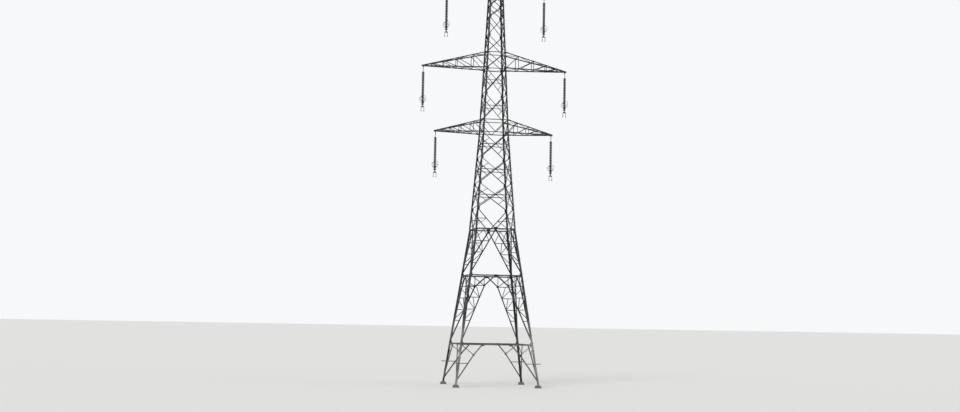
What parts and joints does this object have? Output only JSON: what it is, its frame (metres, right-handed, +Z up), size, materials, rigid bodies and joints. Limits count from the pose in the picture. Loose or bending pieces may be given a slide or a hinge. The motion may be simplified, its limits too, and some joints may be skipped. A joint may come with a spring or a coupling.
{
  "type": "lattice transmission pylon, 1:2 scale model",
  "caption": "Square lattice steel tower with tapering crossarms in three tiers, hanging insulator strings with arcing horns, an earthwire peak and concrete feet.",
  "frame": {"origin": "on the ground under the tower's axis", "axes": "+X along the crossarms, +Y along the line, +Z up"},
  "size_m": [7.64, 4.3912, 21.7673],
  "materials": {
    "galvanised_steel": "dull weathered zinc",
    "fittings_steel": "dull zinc, darker",
    "insulator_glaze": "dark brown glaze",
    "concrete": "rough cast concrete"
  },
  "bodies": {
    "tower": {"base_bracing_back_left": "galvanised_steel", "base_bracing_back_right": "galvanised_steel", "base_bracing_front_left": "galvanised_steel", "base_bracing_front_right": "galvanised_steel", "base_bracing_left_back": "galvanised_steel", "base_bracing_left_front": "galvanised_steel", "base_bracing_right_back": "galvanised_steel", "base_bracing_right_front": "galvanised_steel", "concrete_muffs": "concrete", "crossarm_bottom_left": "galvanised_steel", "crossarm_bottom_right": "galvanised_steel", "crossarm_middle_left": "galvanised_steel", "crossarm_middle_right": "galvanised_steel", "crossarm_top_left": "galvanised_steel", "crossarm_top_right": "galvanised_steel", "earthwire_peak": "galvanised_steel", "guard_brackets": "galvanised_steel", "leg_lower_back_left": "galvanised_steel", "leg_lower_back_right": "galvanised_steel", "leg_lower_front_left": "galvanised_steel", "leg_lower_front_right": "galvanised_steel", "leg_upper_back_left": "galvanised_steel", "leg_upper_back_right": "galvanised_steel", "leg_upper_front_left": "galvanised_steel", "leg_upper_front_right": "galvanised_steel", "plan_bracing": "galvanised_steel", "upper_bracing_back": "galvanised_steel", "upper_bracing_front": "galvanised_steel", "upper_bracing_left": "galvanised_steel", "upper_bracing_right": "galvanised_steel"},
    "shackle_bottom_left": {"shackle_bottom_left": "fittings_steel"},
    "string_bottom_left": {"insulator_bottom_left": "insulator_glaze", "yoke_bottom_left": "fittings_steel"},
    "shackle_bottom_right": {"shackle_bottom_right": "fittings_steel"},
    "string_bottom_right": {"insulator_bottom_right": "insulator_glaze", "yoke_bottom_right": "fittings_steel"},
    "shackle_middle_left": {"shackle_middle_left": "fittings_steel"},
    "string_middle_left": {"insulator_middle_left": "insulator_glaze", "yoke_middle_left": "fittings_steel"},
    "shackle_middle_right": {"shackle_middle_right": "fittings_steel"},
    "string_middle_right": {"insulator_middle_right": "insulator_glaze", "yoke_middle_right": "fittings_steel"},
    "shackle_top_left": {"shackle_top_left": "fittings_steel"},
    "string_top_left": {"insulator_top_left": "insulator_glaze", "yoke_top_left": "fittings_steel"},
    "shackle_top_right": {"shackle_top_right": "fittings_steel"},
    "string_top_right": {"insulator_top_right": "insulator_glaze", "yoke_top_right": "fittings_steel"}
  },
  "joints": [
    {"name": "sway_bottom_left", "type": "hinge", "parent": "tower", "child": "shackle_bottom_left", "pos_m": [-2.985, 0, 12.705], "axis": [0, 1, 0], "range_deg": [-45, 45]},
    {"name": "swing_bottom_left", "type": "hinge", "parent": "shackle_bottom_left", "child": "string_bottom_left", "pos_m": [-2.985, 0, 12.595], "axis": [1, 0, 0], "range_deg": [-45, 45]},
    {"name": "sway_bottom_right", "type": "hinge", "parent": "tower", "child": "shackle_bottom_right", "pos_m": [2.985, 0, 12.705], "axis": [0, 1, 0], "range_deg": [-45, 45]},
    {"name": "swing_bottom_right", "type": "hinge", "parent": "shackle_bottom_right", "child": "string_bottom_right", "pos_m": [2.985, 0, 12.595], "axis": [1, 0, 0], "range_deg": [-45, 45]},
    {"name": "sway_middle_left", "type": "hinge", "parent": "tower", "child": "shackle_middle_left", "pos_m": [-3.67, 0, 16.005], "axis": [0, 1, 0], "range_deg": [-45, 45]},
    {"name": "swing_middle_left", "type": "hinge", "parent": "shackle_middle_left", "child": "string_middle_left", "pos_m": [-3.67, 0, 15.895], "axis": [1, 0, 0], "range_deg": [-45, 45]},
    {"name": "sway_middle_right", "type": "hinge", "parent": "tower", "child": "shackle_middle_right", "pos_m": [3.67, 0, 16.005], "axis": [0, 1, 0], "range_deg": [-45, 45]},
    {"name": "swing_middle_right", "type": "hinge", "parent": "shackle_middle_right", "child": "string_middle_right", "pos_m": [3.67, 0, 15.895], "axis": [1, 0, 0], "range_deg": [-45, 45]},
    {"name": "sway_top_left", "type": "hinge", "parent": "tower", "child": "shackle_top_left", "pos_m": [-2.535, 0, 19.88], "axis": [0, 1, 0], "range_deg": [-45, 45]},
    {"name": "swing_top_left", "type": "hinge", "parent": "shackle_top_left", "child": "string_top_left", "pos_m": [-2.535, 0, 19.77], "axis": [1, 0, 0], "range_deg": [-45, 45]},
    {"name": "sway_top_right", "type": "hinge", "parent": "tower", "child": "shackle_top_right", "pos_m": [2.535, 0, 19.88], "axis": [0, 1, 0], "range_deg": [-45, 45]},
    {"name": "swing_top_right", "type": "hinge", "parent": "shackle_top_right", "child": "string_top_right", "pos_m": [2.535, 0, 19.77], "axis": [1, 0, 0], "range_deg": [-45, 45]}
  ]
}
